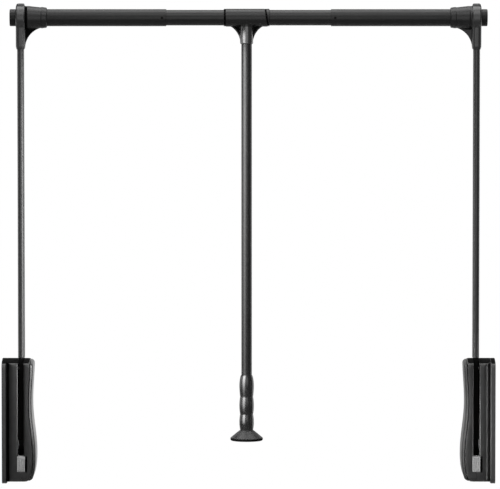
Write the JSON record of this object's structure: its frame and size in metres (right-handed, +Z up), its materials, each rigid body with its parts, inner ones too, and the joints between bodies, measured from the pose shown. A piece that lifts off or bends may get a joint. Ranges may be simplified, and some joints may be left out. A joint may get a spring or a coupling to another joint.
{
  "type": "fold-down clothes rail",
  "caption": "Black fold-down wardrobe rail: wall housings with sprung swing arms carry a telescopic rail, pulled down by a hanging rod with a bulged grip.",
  "frame": {"origin": "on the left wall face, where the swing axis of the arms meets it", "axes": "+X along the rail from the left wall to the right wall, -Y to the room side, +Z up with the rail raised"},
  "size_m": [0.87, 0.09, 0.8455],
  "materials": {
    "case_plastic": "black satin moulding",
    "gloss_plastic": "black glossy moulding",
    "painted_steel": "black paint, slight sheen",
    "bare_steel": "plain steel",
    "nylon": "off-white nylon",
    "grey_rubber": "light grey rubber",
    "dark_rubber": "black rubber"
  },
  "bodies": {
    "left_housing": {"left_base": "case_plastic", "left_wall_plate": "bare_steel", "left_outer_shell": "case_plastic", "left_inner_shell": "case_plastic", "left_side_cap": "gloss_plastic", "left_pivot_axle": "bare_steel", "left_spacer_wall": "nylon", "left_spacer_inner": "nylon", "left_strut_cylinder": "painted_steel", "left_strut_anchor_pin": "bare_steel", "left_stop_buffer": "grey_rubber", "left_up_stop": "dark_rubber"},
    "left_arm_frame": {"left_arm_lever": "painted_steel", "left_lever_bush": "nylon", "left_lever_pin": "bare_steel", "left_arm_tube": "painted_steel", "left_arm_rivet": "painted_steel", "left_corner": "case_plastic", "left_corner_screw": "bare_steel", "left_rail_tube": "painted_steel", "left_end_cap": "case_plastic", "left_lock_screw": "painted_steel"},
    "left_strut": {"left_strut_rod": "bare_steel", "left_strut_yoke": "bare_steel"},
    "right_housing": {"right_base": "case_plastic", "right_wall_plate": "bare_steel", "right_outer_shell": "case_plastic", "right_inner_shell": "case_plastic", "right_side_cap": "gloss_plastic", "right_pivot_axle": "bare_steel", "right_spacer_wall": "nylon", "right_spacer_inner": "nylon", "right_strut_cylinder": "painted_steel", "right_strut_anchor_pin": "bare_steel", "right_stop_buffer": "grey_rubber", "right_up_stop": "dark_rubber"},
    "right_arm_frame": {"right_arm_lever": "painted_steel", "right_lever_bush": "nylon", "right_lever_pin": "bare_steel", "right_arm_tube": "painted_steel", "right_arm_rivet": "painted_steel", "right_corner": "case_plastic", "right_corner_screw": "bare_steel", "right_rail_tube": "painted_steel", "right_end_cap": "case_plastic", "right_lock_screw": "painted_steel"},
    "right_strut": {"right_strut_rod": "bare_steel", "right_strut_yoke": "bare_steel"},
    "rail_middle": {"rail_inner_tube": "painted_steel"},
    "pull_rod": {"tee": "gloss_plastic", "pull_rod_tube": "painted_steel", "pull_rod_pin": "painted_steel", "pull_grip": "gloss_plastic", "pull_bell": "case_plastic"}
  },
  "joints": [
    {"name": "arm_swing", "type": "hinge", "parent": "left_housing", "child": "left_arm_frame", "pos_m": [0, 0, 0], "axis": [1, 0, 0], "range_deg": [0, 100], "stiffness_Nm_per_rad": 10, "springref_deg": -28.65},
    {"name": "width_adjust", "type": "slide", "parent": "left_housing", "child": "right_housing", "axis": [1, 0, 0], "range_m": [-0.04, 0.28]},
    {"name": "rail_extend", "type": "slide", "parent": "left_arm_frame", "child": "rail_middle", "axis": [1, 0, 0], "range_m": [-0.0205, 0.1405]},
    {"name": "far_arm_extend", "type": "slide", "parent": "left_arm_frame", "child": "right_arm_frame", "axis": [1, 0, 0], "range_m": [-0.0405, 0.2805]},
    {"name": "rod_swivel", "type": "hinge", "parent": "rail_middle", "child": "pull_rod", "pos_m": [0.4315, 0, 0.755], "axis": [1, 0, 0], "continuous": true},
    {"name": "left_strut_slide", "type": "slide", "parent": "left_housing", "child": "left_strut", "axis": [0, 0, 1], "range_m": [0, 0.0465]},
    {"name": "right_strut_slide", "type": "slide", "parent": "right_housing", "child": "right_strut", "axis": [0, 0, 1], "range_m": [0, 0.0465]}
  ],
  "couplings": [
    {"joint": "rail_extend", "follows": "width_adjust", "ratio": 0.5},
    {"joint": "far_arm_extend", "follows": "width_adjust", "ratio": 1},
    {"joint": "left_strut_slide", "follows": "arm_swing", "m_per_rad": 0.026335},
    {"joint": "right_strut_slide", "follows": "arm_swing", "m_per_rad": 0.026335}
  ]
}
